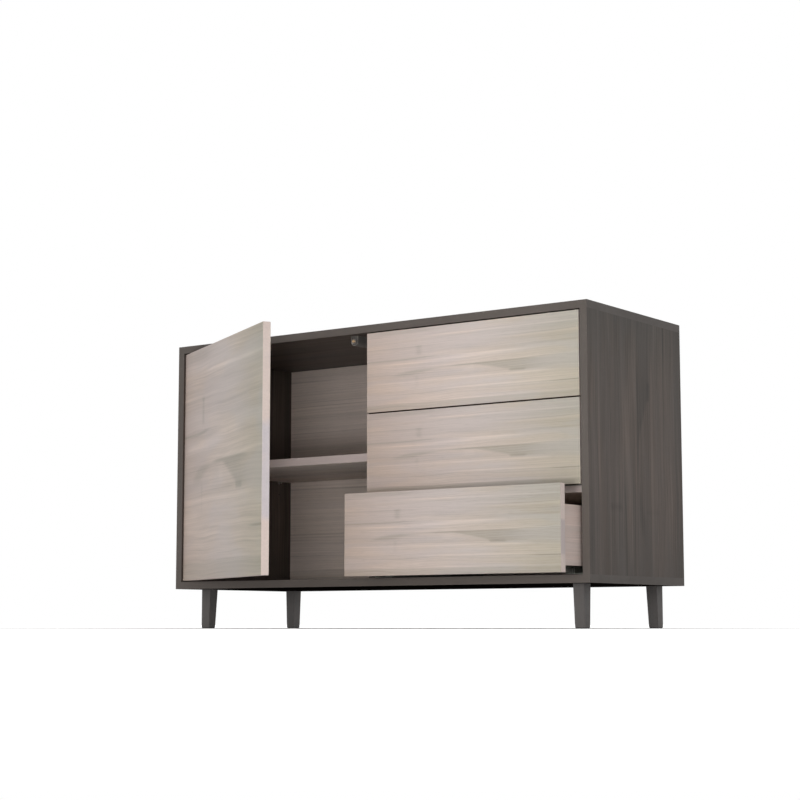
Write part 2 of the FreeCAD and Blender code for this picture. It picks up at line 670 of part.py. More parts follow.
def make_latch():
    """The touch latch: a bracket with its tube under the top panel and a sprung plunger."""
    housing = new_body("latch_housing", ("latch_x", "latch_front_y", "latch_z"))
    sketch = new_sketch(housing, "XZ_Plane", "-latch_tube_out")
    draw_rectangle(sketch, ("-latch_bracket_radius", "0"), ("latch_bracket_radius", "latch_drop"))
    pad(housing, sketch, "latch_length", backwards=True)
    sketch = new_sketch(housing, "XZ_Plane", "-latch_tube_out")
    draw_circle(sketch, ("0", "0"), "latch_bracket_radius")
    pad(housing, sketch, "latch_length", backwards=True)
    sketch = new_sketch(housing, "XZ_Plane", "-latch_tube_out")
    draw_rectangle(sketch, ("latch_strap - latch_bracket_radius", "0"),
                   ("latch_bracket_radius - latch_strap", "latch_drop - latch_strap"))
    cut(housing, sketch, "latch_recess")
    sketch = new_sketch(housing, "XZ_Plane", "-latch_tube_out")
    draw_circle(sketch, ("0", "0"), "latch_bracket_radius - latch_strap")
    cut(housing, sketch, "latch_recess")
    sketch = new_sketch(housing, "XZ_Plane", "-latch_tube_out - latch_length")
    draw_rectangle(sketch, ("-latch_bracket_radius", "latch_drop - latch_base"),
                   ("latch_bracket_radius", "latch_drop"))
    pad(housing, sketch, "latch_base_length", backwards=True)
    sketch = new_sketch(housing, "XZ_Plane")
    draw_circle(sketch, ("0", "0"), "latch_tube_radius")
    pad(housing, sketch, "latch_length", backwards=True)
    sketch = new_sketch(housing, "XZ_Plane")
    draw_circle(sketch, ("0", "0"), "plunger_radius + plunger_play")
    cut(housing, sketch, "plunger_length + latch_tip_out")
    drill(housing, "XY_Plane", "latch_drop", "latch_base + overrun", "hinge_screw_radius",
          latch_screw_places())

    plunger = new_body("latch_plunger", ("latch_x", "latch_tip_y", "latch_z"))
    sketch = new_sketch(plunger, "XZ_Plane")
    draw_circle(sketch, ("0", "0"), "plunger_radius")
    pad(plunger, sketch, "plunger_length", backwards=True)


def screw_group(body, role, seat, inwards, places, size, drive_length):
    """Pan-head screws: shanks from the seat into the wood and heads on the other side of it.

    The seat is a level of the plane; inwards is the sign of the way into the wood along its normal.
    """
    if inwards > 0:
        shank_start, head_start = seat, f"{seat} - {size}_head"
    else:
        shank_start, head_start = f"{seat} - ({drive_length})", seat
    shank = add_pins(body, role, shank_start, drive_length, f"{size}_radius", places)
    head = add_pins(body, role, head_start, f"{size}_head", f"{size}_head_radius", places)
    return [shank, head]


def make_screws():
    """The screws of the hinges, the latch and the slides, one node for each kind of place."""
    door_z = "bay_floor + front_gap"
    levels = ("hinge_from_end", "door_height - hinge_from_end")

    body = new_body("hinge_plate_screws", ("-side_inside", "hinge_y", door_z))
    places = [("hinge_plate_centre", f"{level} {sign} hinge_screw_spread / 2")
              for level in levels for sign in "+-"]
    screw_group(body, "YZ_Plane", "hinge_plate", -1, places, "hinge_screw",
                "hinge_screw_length + hinge_plate")

    body = new_body("hinge_arm_screws", ("-side_inside", "hinge_y", door_z))
    places = [(line, level) for level in levels for line in arm_screw_lines()]
    screw_group(body, "YZ_Plane", "hinge_plate + hinge_arm_height", -1, places, "arm_screw",
                "hinge_arm_height")

    body = new_body("hinge_cup_screws", ("hinge_x", "hinge_y", door_z), "-door_rest_angle")
    places = [("cup_centre", f"{level} {sign} cup_screw_spread / 2") for level in levels for sign in "+-"]
    screw_group(body, "XZ_Plane", "-door_back_offset - cup_flange", 1, places,
                "hinge_screw", "hinge_screw_length")

    body = new_body("latch_screws", ("latch_x", "latch_front_y", "bay_ceiling"))
    screw_group(body, "XY_Plane", "-latch_base", 1, latch_screw_places(), "hinge_screw", "hinge_screw_length")

    body = new_body("slide_screws", ("drawer_bay_centre", "slide_front", "bay_floor + front_gap"))
    places = []
    for fronts_below in range(3):
        places += slide_screw_places(f"{fronts_below} * front_pitch - slide_below_front")
    features = screw_group(body, "YZ_Plane", "bay_width / 2 - slide_sheet", 1, places,
                           "slide_screw", "slide_screw_length")
    mirror(body, features, "YZ_Plane")


def make_dowels():
    """Dowels across the joints of the carcass, in one node."""
    body = new_body("carcass_dowels", ("0", "inner_front + inner_depth / 2", "0"))
    lines = ("dowel_inset - inner_depth / 2", "0", "inner_depth / 2 - dowel_inset")
    side_line = "carcass_width / 2 - board / 2"
    upright = [(column, line) for column in (side_line, f"-({side_line})", "0") for line in lines]
    add_pins(body, "XY_Plane", "bay_floor - dowel_in_face", "dowel_length", "dowel_radius", upright)
    add_pins(body, "XY_Plane", "bay_ceiling + dowel_in_face - dowel_length", "dowel_length",
             "dowel_radius", upright)
    divider_middle = "bay_floor + front_gap - divider_drop - drawer_divider / 2"
    level = [(line, f"{divider_middle} + {fronts_below} * front_pitch")
             for fronts_below in (1, 2) for line in (lines[0], lines[2])]
    add_pins(body, "YZ_Plane", "side_inside + dowel_in_face - dowel_length", "dowel_length",
             "dowel_radius", level)
    add_pins(body, "YZ_Plane", "board / 2 - dowel_in_divider", "dowel_length", "dowel_radius", level)


def check_and_export():
    """Stop on any failed object or bad shape, then write one file for each sub-part."""
    doc.recompute()
    for item in doc.Objects:
        if "Invalid" in item.State or "Error" in item.State:
            raise RuntimeError(f"{item.Label} failed: {item.State}")
    for part in parts:
        if part.Shape.isNull() or not part.Shape.isValid():
            raise RuntimeError(part.Label + " has no valid shape")
    os.makedirs("parts", exist_ok=True)
    for part in parts:
        part.Shape.exportStep(os.path.join("parts", part.Label + ".step"))
        print(f"{part.Label}: {len(part.Shape.Solids)} solid(s), {part.Shape.Volume / 1000:.1f} cm3")


fill_sheet()
make_carcass()
make_shelf()
make_legs()
make_drawer("lower", 0, "drawer_rest_pull")
make_drawer("middle", 1, "0")
make_drawer("upper", 2, "0")
make_door()
make_latch()
make_screws()
make_dowels()
check_and_export()
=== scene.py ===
import math

import bpy
from mathutils import Matrix, Vector


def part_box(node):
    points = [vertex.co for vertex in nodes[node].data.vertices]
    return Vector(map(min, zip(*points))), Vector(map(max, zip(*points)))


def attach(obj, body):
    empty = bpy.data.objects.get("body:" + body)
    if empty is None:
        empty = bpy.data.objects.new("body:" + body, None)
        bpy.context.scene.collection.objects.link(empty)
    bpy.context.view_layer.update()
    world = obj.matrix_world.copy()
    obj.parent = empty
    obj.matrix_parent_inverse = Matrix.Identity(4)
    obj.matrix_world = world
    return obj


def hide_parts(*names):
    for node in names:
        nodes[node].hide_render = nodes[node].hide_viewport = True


# Looks of the sideboard: grained boards, plated fittings, soft studio light and the photograph's camera.

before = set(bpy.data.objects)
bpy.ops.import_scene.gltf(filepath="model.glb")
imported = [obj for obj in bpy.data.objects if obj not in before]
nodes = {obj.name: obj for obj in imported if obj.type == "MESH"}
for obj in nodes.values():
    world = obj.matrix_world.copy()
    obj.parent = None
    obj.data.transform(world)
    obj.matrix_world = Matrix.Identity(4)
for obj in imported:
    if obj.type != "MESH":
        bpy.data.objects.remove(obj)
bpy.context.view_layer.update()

DRAWERS = ("lower", "middle", "upper")
DOOR_TURN = math.radians(30.1)
DOOR_PIVOT = (-0.570, -0.213, 0.0)

CAMERA_PLACE = (2.5665, -3.6510, 0.0090)
CAMERA_TURN = (97.01, 0.035, 35.74)
CAMERA_LENS = 82.18
SENSOR_WIDTH = 36.0
CAMERA_REACH = 100.0

WHITE = (1.0, 1.0, 1.0, 1.0)


# Node graphs

def linear(colour):
    """A colour written as 0 to 255 on screen, as the shader wants it."""
    parts = [value / 255 for value in colour]
    return [v / 12.92 if v <= 0.04045 else ((v + 0.055) / 1.055) ** 2.4 for v in parts] + [1.0]


class Graph:
    """A node tree with short calls to add to it."""

    def __init__(self, tree):
        self.tree = tree
        self.tree.nodes.clear()

    def add(self, kind, settings=None, inputs=None, output=0):
        """A new node; inputs by name or index, each a value or another node's output."""
        made = self.tree.nodes.new(kind)
        for key, value in (settings or {}).items():
            setattr(made, key, value)
        for key, value in (inputs or {}).items():
            if isinstance(value, bpy.types.NodeSocket):
                self.tree.links.new(value, made.inputs[key])
            else:
                made.inputs[key].default_value = value
        return made.outputs[output]

    def close(self, kind, value, key="Surface"):
        """The tree's last node, which has no output of its own."""
        last = self.tree.nodes.new(kind)
        self.tree.links.new(value, last.inputs[key])

    def maths(self, operation, first, second=0.0, clamp=False):
        settings = {"operation": operation, "use_clamp": clamp}
        return self.add("ShaderNodeMath", settings, {0: first, 1: second})

    def plus(self, first, second):
        return self.maths("ADD", first, second)

    def minus(self, first, second):
        return self.maths("SUBTRACT", first, second)

    def times(self, first, second):
        return self.maths("MULTIPLY", first, second)

    def divided(self, first, second):
        return self.maths("DIVIDE", first, second)

    def vector(self, operation, first, second):
        return self.add("ShaderNodeVectorMath", {"operation": operation}, {0: first, 1: second})

    def scaled(self, colour, factor):
        return self.add("ShaderNodeVectorMath", {"operation": "SCALE"}, {0: colour, 3: factor})

    def joined(self, first, second, third):
        return self.add("ShaderNodeCombineXYZ", None, {0: first, 1: second, 2: third})

    def parts(self, vector):
        return self.add("ShaderNodeSeparateXYZ", None, {0: vector}).node.outputs

    def turned(self, vector, turn):
        """The vector turned about the vertical; no turn adds no node."""
        if not turn:
            return vector
        inputs = {"Vector": vector, "Angle": turn}
        return self.add("ShaderNodeVectorRotate", {"rotation_type": "Z_AXIS"}, inputs)

    def remap(self, value, low, high, to_low=0.0, to_high=1.0, clamp=True):
        inputs = {0: value, 1: low, 2: high, 3: to_low, 4: to_high}
        return self.add("ShaderNodeMapRange", {"clamp": clamp}, inputs)

    def smooth(self, value, low, high):
        """Softly from nothing at low to one at high; low may be the larger."""
        inputs = {0: value, 1: min(low, high), 2: max(low, high)}
        inputs.update({3: 0.0, 4: 1.0} if low < high else {3: 1.0, 4: 0.0})
        return self.add("ShaderNodeMapRange", {"interpolation_type": "SMOOTHSTEP"}, inputs)

    def between(self, value, low, high, soft):
        """One between low and high, falling softly to nothing outside."""
        rise = self.smooth(value, low - soft, low + soft)
        fall = self.smooth(value, high + soft, high - soft)
        return self.times(rise, fall)

    def around(self, value, middle, half, soft):
        """One within half of the middle, falling softly to nothing outside."""
        return self.between(value, middle - half, middle + half, soft)

    def mix(self, amount, first, second):
        """A mix of two colours."""
        return self.add("ShaderNodeMix", {"data_type": "RGBA"}, {0: amount, 6: first, 7: second}, output=2)

    def ramp(self, value, stops):
        """A colour that runs through the stops, each a share and a colour."""
        colours = self.add("ShaderNodeValToRGB", None, {0: value})
        band = colours.node.color_ramp
        band.interpolation = "B_SPLINE"
        while len(band.elements) < len(stops):
            band.elements.new(0.5)
        for element, (share, colour) in zip(band.elements, stops):
            element.position = share
            element.color = linear(colour)
        return colours

    def noise(self, place, detail, roughness=0.55, distortion=0.0):
        inputs = {"Vector": place, "Scale": 1.0, "Detail": detail, "Roughness": roughness,
                  "Distortion": distortion}
        return self.add("ShaderNodeTexNoise", None, inputs)

    def streaks(self, shares, scales, *settings):
        """Noise over a board's face, with a scale along the grain, across it and through the board."""
        stretched = [self.times(share, scale) for share, scale in zip(shares, scales)]
        return self.noise(self.joined(*stretched), *settings)

    def clouds(self, scales, *settings):
        """Noise over the piece's own coordinates, with a scale for each axis."""
        place = self.add("ShaderNodeTexCoord", output="Object")
        return self.noise(self.vector("MULTIPLY", place, scales), *settings)

    def facing(self, axis, turn=0.0, signed=False):
        """How squarely the surface faces along one of the board's own axes."""
        normal = self.turned(self.add("ShaderNodeTexCoord", output="Normal"), turn)
        found = self.parts(normal)["XYZ".index(axis)]
        return found if signed else self.maths("ABSOLUTE", found)

    def bump(self, strength, depth, height):
        inputs = {"Strength": strength, "Distance": depth, "Height": height}
        return self.add("ShaderNodeBump", None, inputs)


class MaterialGraph(Graph):
    """The node tree of a new material."""

    def __init__(self, name):
        self.material = bpy.data.materials.new(name)
        self.material.use_nodes = True
        super().__init__(self.material.node_tree)

    def finish(self, shader):
        self.close("ShaderNodeOutputMaterial", shader)
        return self.material


class GroupGraph(Graph):
    """A node group that several materials use as one node; given are its inputs."""

    def __init__(self, name, inputs, output):
        super().__init__(bpy.data.node_groups.new(name, "ShaderNodeTree"))
        for title in inputs:
            self.tree.interface.new_socket(name=title, in_out="INPUT", socket_type="NodeSocketFloat")
        self.tree.interface.new_socket(name=output, in_out="OUTPUT", socket_type="NodeSocketFloat")
        self.given = self.tree.nodes.new("NodeGroupInput").outputs[:len(inputs)]

    def finish(self, value):
        self.close("NodeGroupOutput", value, 0)
        return self.tree


# The wood's figure

# Strokes of the wood's figure as shares of a face: middle across the grain, half thickness, start
# and end along the grain, and how much paler or darker the wood is there
STROKE_SHARES = (
    (0.030, 0.025, 0.02, 0.34, -0.030),
    (0.108, 0.007, 0.32, 1.10, 0.050),
    (0.150, 0.020, 0.50, 1.10, -0.020),
    (0.212, 0.005, -0.10, 0.45, 0.030),
    (0.228, 0.006, -0.10, 0.33, -0.025),
    (0.300, 0.060, 0.45, 1.10, -0.015),
    (0.375, 0.007, -0.10, 0.33, -0.050),
    (0.428, 0.016, 0.06, 0.72, 0.045),
    (0.486, 0.006, 0.34, 1.10, 0.025),
    (0.508, 0.008, 0.42, 0.80, -0.055),
    (0.575, 0.066, -0.10, 1.10, -0.015),
    (0.662, 0.011, 0.02, 0.86, 0.045),
    (0.705, 0.030, 0.10, 0.70, 0.015),
    (0.775, 0.008, 0.36, 0.92, 0.035),
    (0.796, 0.004, 0.58, 0.86, -0.030),
    (0.800, 0.005, 0.88, 1.10, -0.110),
    (0.912, 0.004, 0.20, 1.10, 0.020),
    (0.960, 0.042, -0.10, 1.10, -0.040),
)
# How softly a stroke fades at its sides, apart from a third of its half thickness, and at its ends
STROKE_SIDE_SHARE = 0.004
STROKE_END_SHARE = 0.07
# Short marks across the grain: middle and half size both ways, and the level
MARK_SHARES = (
    (0.260, 0.014, 0.275, 0.060, -0.032),
    (0.250, 0.007, 0.660, 0.070, -0.020),
    (0.725, 0.035, 0.625, 0.012, -0.060),
    (0.500, 0.025, 0.560, 0.030, 0.012),
)
MARK_SOFT_SHARES = (0.012, 0.015)
# How far the lines round the pale streak climb across the face, between which places along the grain,
# and the low side, high side and softness of the band that climbs
CLIMB_SHARE = 0.085
CLIMB_START_SHARES = (0.16, 0.62)
CLIMB_BAND_SHARES = (0.36, 0.40, 0.09)
# The stave with the arched figure: its low side, high side and softness
STAVE_SHARES = (0.511, 0.636, 0.012)
# The crescent's middle and radii along and across the grain, its ring in shares of them, and where it
# fades along and across
CRESCENT_MIDDLE_SHARES = (0.45, 0.60)
CRESCENT_RADIUS_SHARES = (0.26, 0.095)
CRESCENT_RING_SHARES = (0.84, 1.24, 0.13)
CRESCENT_FADE_SHARES = ((0.46, 0.28), (0.605, 0.555))
CRESCENT_LEVEL = -0.028
# The wedge's corner and slope, and where it fades across its line and along the grain
WEDGE_CORNER_SHARES = (0.50, 0.51)
WEDGE_SLOPE_SHARES = (0.22, 0.13)
WEDGE_FADE_SHARES = ((-0.08, 0.26), (0.96, 0.66))
WEDGE_LEVEL = -0.044


def add_strokes(graph, along, across):
    """The level of all strokes and marks together; the lines round the pale streak climb a little."""
    climb = graph.times(graph.smooth(along, *CLIMB_START_SHARES), CLIMB_SHARE)
    near = graph.between(across, *CLIMB_BAND_SHARES)
    bent = graph.plus(across, graph.times(climb, near))
    total = 0.0
    for middle, half, start, end, level in STROKE_SHARES:
        stroke = graph.around(bent, middle, half, STROKE_SIDE_SHARE + half / 3)
        amount = graph.times(stroke, graph.between(along, start, end, STROKE_END_SHARE))
        total = graph.plus(graph.times(amount, level), total)
    for middle, half, height, reach, level in MARK_SHARES:
        mark = graph.times(graph.around(along, middle, half, MARK_SOFT_SHARES[0]),
                           graph.around(across, height, reach, MARK_SOFT_SHARES[1]))
        total = graph.plus(graph.times(mark, level), total)
    return total


def add_cathedral(graph, along, across):
    """The arched figure of one stave: a dark crescent on its left and a dark wedge on its right."""

    def from_point(middle_shares, unit_shares):
        """How far along and across a place lies from a point, in units of their own."""
        return [graph.divided(graph.minus(place, middle), unit)
                for place, middle, unit in zip((along, across), middle_shares, unit_shares)]

    reach, rise = from_point(CRESCENT_MIDDLE_SHARES, CRESCENT_RADIUS_SHARES)
    radius = graph.maths("SQRT", graph.plus(graph.times(reach, reach), graph.times(rise, rise)))
    ends = graph.times(graph.smooth(along, *CRESCENT_FADE_SHARES[0]),
                       graph.smooth(across, *CRESCENT_FADE_SHARES[1]))
    crescent = graph.times(graph.between(radius, *CRESCENT_RING_SHARES), ends)
    line = graph.minus(*from_point(WEDGE_CORNER_SHARES, WEDGE_SLOPE_SHARES))
    wedge = graph.times(graph.smooth(line, *WEDGE_FADE_SHARES[0]),
                        graph.smooth(along, *WEDGE_FADE_SHARES[1]))
    dark = graph.plus(graph.times(crescent, CRESCENT_LEVEL), graph.times(wedge, WEDGE_LEVEL))
    return graph.times(dark, graph.between(across, *STAVE_SHARES))


def make_figure():
    """The figure as a node group: from a place on the face to how much paler or darker it is there."""
    graph = GroupGraph("figure", ("along", "across"), "level")
    along, across = graph.given
    strokes = add_strokes(graph, along, across)
    return graph.finish(graph.plus(strokes, add_cathedral(graph, along, across)))


# Wood

FIGURE = make_figure()
WOOD_GLOSS = 0.3
WOOD_ROUGHNESS = 0.5
ROUGHNESS_SWING = 0.05
WOOD_BUMP = (0.15, 0.0004)
# How much of the bump's height comes from the fine lines and from the pores
HEIGHT_SHARES = (0.55, 0.45)
SCREEN_GAMMA = 2.2
# How far the lines sway across the grain, in metres, and at most as a share of the face
SWAY = 0.0045
WIDEST_SWAY_SHARE = 0.03
# Layers of the grain: scales along the grain, across it and through the board, then the noise's
# detail, roughness and distortion
SLOW_LAYER = ((2.6, 3.0, 0.2), 1.0, 0.5)
BROAD_LAYER = ((1.1, 15.0, 0.5), 6.0, 0.62, 0.5)
FINE_LAYER = ((1.8, 130.0, 3.0), 3.0, 0.6, 0.15)
HAIR_LAYER = ((1.2, 90.0, 2.0), 2.0, 0.5, 0.6)
DRIFT_LAYER = ((2.4, 6.5, 0.2), 2.0, 0.5, 0.4)
# The same for the pores and for the clouds on edge bands, whose scales are to the metre
PORE_SCALES = (40.0, 1400.0, 1400.0)
PORE_NOISE = (2.0, 0.5)
EDGE_CLOUD_LAYER = ((11.0, 11.0, 11.0), 2.0)
# Three ranges round the middle of a noise's values
WIDE_RANGE = (0.25, 0.75)
MIDDLING_RANGE = (0.3, 0.7)
NARROW_RANGE = (0.35, 0.65)
# Ranges of the noise in which pores open and in which single hair lines turn dark or pale
PORE_RANGE = (0.28, 0.46)
DARK_HAIR_RANGE = (0.38, 0.31)
PALE_HAIR_RANGE = (0.62, 0.69)
# How much darker and paler each layer can make the wood; the drift makes the broad streaks calmer or
# stronger, and the fine lines livelier
BROAD_LEVELS = (0.02, 0.055)
FINE_LEVELS = (-0.078, 0.070)
HAIR_LEVELS = (-0.075, 0.045)
PORE_LEVELS = (-0.05, 0.006)
FIGURE_GAINS = (0.8, 1.6)
LIVELY_GAINS = (0.5, 1.35)
# How much of the board's colour comes from the hues that drift, and from its last hue in the figure
DRIFT_SHARE = 0.30
FIGURE_SHARE = 0.35
# How far the hues wander along the board, how much a stave's place tells on its hue, and the ranges in
# which a stave turns warm and a stroke takes the last hue
WANDER_SHARE = 0.05
STAVE_SHARE = 0.16
WARM_RANGE = (0.44, 0.72)
STROKE_RANGE = (-0.012, -0.06)
# The edge band: what its clouds and its darker middle add to the blotches, where across the board the
# middle lies, the range in which a blotch starts, and how the fine lines show on it
CLOUD_SHARE = 0.6
HEART_SHARE = 0.25
HEART_BAND_SHARES = (0.4, 0.78, 0.04)
BLOTCH_RANGE = (0.30, 0.50)
RING_GAINS = (0.95, 1.04)
# How squarely a surface faces along the grain, out of the board or up, where it starts to be an end, an
# edge or an underside, and where it wholly is one
END_FACING = (0.5, 0.9)
EDGE_FACING = (0.75, 0.45)
DOWN_FACING = (-0.5, -0.8)


def face_shares(graph, low, size, axes, turn=0.0):
    """How far along the grain, across it and through the board a point is, as shares of its face.

    axes names the board's axes, and one in small letters runs the other way. turn is the angle by
    which the door's own axes are turned about its hinge pin.
    """
    place = graph.add("ShaderNodeTexCoord", output="Object")
    if turn:
        place = graph.turned(graph.vector("SUBTRACT", place, DOOR_PIVOT), turn)
    parts = graph.parts(place)
    shares = []
    for axis in axes:
        index = "XYZ".index(axis.upper())
        ends = (0.0, 1.0) if axis.isupper() else (1.0, 0.0)
        shares.append(graph.remap(parts[index], low[index], low[index] + size[index], *ends, clamp=False))
    return shares


def grain_layers(graph, shares, size, axes):
    """The noises that make up the grain; the lines sway a little across it."""
    along, across, through = shares
    sway = min(SWAY / size["XYZ".index(axes[1].upper())], WIDEST_SWAY_SHARE)
    slow = graph.streaks(shares, *SLOW_LAYER)
    swayed = (along, graph.plus(across, graph.remap(slow, *WIDE_RANGE, -sway, sway)), through)
    pores = [0.0, 0.0, 0.0]
    for axis, scale in zip(axes, PORE_SCALES):
        pores["XYZ".index(axis.upper())] = scale
    return {
        "broad": graph.streaks(swayed, *BROAD_LAYER),
        "fine": graph.streaks(swayed, *FINE_LAYER),
        "hair": graph.streaks(swayed, *HAIR_LAYER),
        "drift": graph.streaks(shares, *DRIFT_LAYER),
        "pore": graph.clouds(pores, *PORE_NOISE),
    }


def grain_level(graph, layers, figure, contrast, lines, tone):
    """How bright the wood is at each place, where its plain colour is one."""
    broad, drift = layers["broad"], layers["drift"]
    level = graph.times(figure, graph.remap(broad, *MIDDLING_RANGE, *FIGURE_GAINS))
    spread = graph.remap(drift, *NARROW_RANGE, *BROAD_LEVELS)
    level = graph.plus(level, graph.times(graph.remap(broad, *WIDE_RANGE, -1.0, 1.0), spread))
    lively = graph.remap(drift, *NARROW_RANGE, *LIVELY_GAINS)
    lined = graph.times(graph.remap(layers["fine"], *WIDE_RANGE, *FINE_LEVELS), lively)
    for span, hair_level in zip((DARK_HAIR_RANGE, PALE_HAIR_RANGE), HAIR_LEVELS):
        lined = graph.plus(lined, graph.times(graph.smooth(layers["hair"], *span), hair_level))
    level = graph.plus(level, graph.times(lined, lines))
    level = graph.plus(level, graph.remap(layers["pore"], *PORE_RANGE, *PORE_LEVELS))
    level = graph.plus(graph.times(level, contrast), tone)
    return graph.maths("POWER", level, SCREEN_GAMMA)


def grain_hue(graph, palette, along, across, drift, figure):
    """The wood's plain colour: it runs along the board, and staves drift off it."""
    wander = graph.plus(along, graph.remap(drift, *MIDDLING_RANGE, -WANDER_SHARE, WANDER_SHARE))
    colour = graph.ramp(wander, palette["run"])
    zone = graph.plus(drift, graph.times(across, STAVE_SHARE))
    tinted = graph.mix(graph.smooth(zone, *WARM_RANGE), linear(palette["cool"]), linear(palette["warm"]))
    colour = graph.mix(DRIFT_SHARE, colour, tinted)
    last = linear(palette["run"][-1][1])
    return graph.mix(graph.times(graph.smooth(figure, *STROKE_RANGE), FIGURE_SHARE), colour, last)


def edge_colour(graph, palette, across, fine, along_facing, ends):
    """The edge band, blotched by clouds; ends is how pale it is where it cuts the grain."""
    cloud = graph.times(graph.clouds(*EDGE_CLOUD_LAYER), CLOUD_SHARE)
    cloud = graph.plus(cloud, graph.times(graph.between(across, *HEART_BAND_SHARES), HEART_SHARE))
    blotch = graph.mix(graph.smooth(cloud, *BLOTCH_RANGE), *[linear(colour) for colour in palette["edge"]])
    ring = graph.remap(fine, *MIDDLING_RANGE, *RING_GAINS)
    return graph.scaled(blotch, graph.times(ring, graph.remap(along_facing, *END_FACING, 1.0, ends)))


def wood(name, palette, low, size, axes, turn=0.0, edge_axis=None, underside=None, contrast=1.0, lines=1.0,
         tone=1.0, ends=1.0):
    """Sealed veneer whose figure is stretched over the board's face, as on the fronts and sides.

    Surfaces that don't face along edge_axis show the edge band. The two underside colours are painted
    shade on the faces that look down, which also lose their gloss. lines is the fine lines' share of the
    contrast. tone makes the whole board a little paler or darker, ends only the edges that cut the grain.
    """
    graph = MaterialGraph(name)
    shares = face_shares(graph, low, size, axes, turn)
    along, across, _ = shares
    layers = grain_layers(graph, shares, size, axes)
    fine = layers["fine"]

    figure = graph.add("ShaderNodeGroup", {"node_tree": FIGURE}, {0: along, 1: across})
    colour = graph.scaled(grain_hue(graph, palette, along, across, layers["drift"], figure),
                          grain_level(graph, layers, figure, contrast, lines, tone))
    if edge_axis:
        along_facing = graph.facing(axes[0].upper(), turn)
        band = edge_colour(graph, palette, across, fine, along_facing, ends)
        colour = graph.mix(graph.smooth(graph.facing(edge_axis, turn), *EDGE_FACING), colour, band)
    gloss = WOOD_GLOSS
    # Faces that look down are painted with shade instead of the wood's colour, and lose their gloss
    if underside:
        down = graph.smooth(graph.facing("Z", signed=True), *DOWN_FACING)
        painted_shade = graph.mix(graph.remap(fine, *NARROW_RANGE), *[linear(shade) for shade in underside])
        colour = graph.mix(down, colour, painted_shade)
        gloss = graph.remap(down, 0.0, 1.0, WOOD_GLOSS, 0.0)

    swing = graph.remap(layers["broad"], *MIDDLING_RANGE, ROUGHNESS_SWING, -ROUGHNESS_SWING)
    height = graph.plus(graph.times(fine, HEIGHT_SHARES[0]), graph.times(layers["pore"], HEIGHT_SHARES[1]))
    shader = graph.add("ShaderNodeBsdfPrincipled", None, {
        "Base Color": colour, "Roughness": graph.maths("ADD", swing, WOOD_ROUGHNESS, clamp=True),
        "Specular IOR Level": gloss, "Normal": graph.bump(*WOOD_BUMP, height),
    })
    return graph.finish(shader)


def board_wood(name, node, palette, axes, **extras):
    """The wood of one board, its figure fitted to the board's own box."""
    low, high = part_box(node)
    size = [top - bottom for bottom, top in zip(low, high)]
    return wood(name, palette, low, size, axes, **extras)


# Metal and plastic

# Noises of the finishes: scales to the metre, which each metal has of its own for its scratches, then
# detail and roughness
SCRATCH_NOISE = (2.0, 0.6)
METAL_CLOUD_LAYER = ((60.0, 60.0, 60.0), 3.0, 0.5)
LEATHER_LAYER = ((900.0, 900.0, 900.0), 2.0, 0.5)
PLASTIC_CLOUD_LAYER = ((40.0, 40.0, 40.0), 2.0, 0.5)
# What the clouds make of the plain colour, what scratches add to the roughness, and the strength and
# depth of each bump
METAL_SHADE_SHARE = 0.9
PLASTIC_SHADE_SHARE = 1.25
SCRATCH_ROUGHNESS = (-0.04, 0.06)
METAL_BUMP = (0.04, 0.00005)
PLASTIC_BUMP = (0.15, 0.0002)
PLASTIC_GLOSS = 0.4


def shaded(colour, factor):
    """The colour as the shader wants it, made darker or paler."""
    return [value * factor for value in linear(colour)[:3]] + [1.0]


def metal(name, colour, roughness, metallic=1.0, scratch=(8.0, 500.0, 500.0)):
    """Plated or brushed metal with fine scratches along one way."""
    graph = MaterialGraph(name)
    fine = graph.clouds(scratch, *SCRATCH_NOISE)
    cloud = graph.remap(graph.clouds(*METAL_CLOUD_LAYER), *MIDDLING_RANGE)
    rough = [roughness + more for more in SCRATCH_ROUGHNESS]
    shader = graph.add("ShaderNodeBsdfPrincipled", None, {
        "Base Color": graph.mix(cloud, shaded(colour, METAL_SHADE_SHARE), linear(colour)),
        "Roughness": graph.remap(fine, *MIDDLING_RANGE, *rough),
        "Normal": graph.bump(*METAL_BUMP, fine), "Metallic": metallic,
    })
    return graph.finish(shader)


def plastic(name, colour, roughness):
    """Moulded plastic with a fine leathery texture."""
    graph = MaterialGraph(name)
    fine = graph.clouds(*LEATHER_LAYER)
    cloud = graph.remap(graph.clouds(*PLASTIC_CLOUD_LAYER), *MIDDLING_RANGE)
    shader = graph.add("ShaderNodeBsdfPrincipled", None, {
        "Base Color": graph.mix(cloud, linear(colour), shaded(colour, PLASTIC_SHADE_SHARE)),
        "Roughness": roughness, "Specular IOR Level": PLASTIC_GLOSS,
        "Normal": graph.bump(*PLASTIC_BUMP, fine),
    })
    return graph.finish(shader)


# Materials of the boards and fittings

# The hues that run along a board, the warm and cool hues that staves drift to, and the edge band's two
PALE = {
    "run": ((0.0, (194, 174, 163)), (0.16, (199, 181, 172)), (0.42, (203, 190, 184)),
            (0.60, (201, 189, 182)), (0.80, (186, 177, 165)), (1.0, (165, 161, 145))),
    "warm": (204, 186, 168), "cool": (190, 183, 180), "edge": ((212, 196, 188), (192, 179, 176)),
}
DOOR = dict(PALE, edge=((210, 194, 186), (196, 188, 190)))
# Paler than PALE for the boards inside the carcass: painted light, making up for the little light reaching
# them
SHADED = {
    "run": ((0.0, (222, 206, 196)), (0.5, (228, 214, 205)), (1.0, (220, 210, 196))),
    "warm": (226, 210, 197), "cool": (221, 208, 202), "edge": ((190, 176, 172), (182, 169, 165)),
}
# The drawer dividers' edge band is paler still: painted light on their front edges, which sit in shade
# behind the drawer fronts
DIVIDER = dict(SHADED, edge=((223, 207, 202), (214, 199, 194)))
DARK = {
    "run": ((0.0, (70, 62, 56)), (0.3, (87, 75, 68)), (0.55, (84, 73, 66)), (0.8, (81, 71, 64)),
            (1.0, (60, 55, 49))),
    "warm": (88, 76, 68), "cool": (79, 74, 71), "edge": ((93, 86, 81), (89, 82, 77)),
}
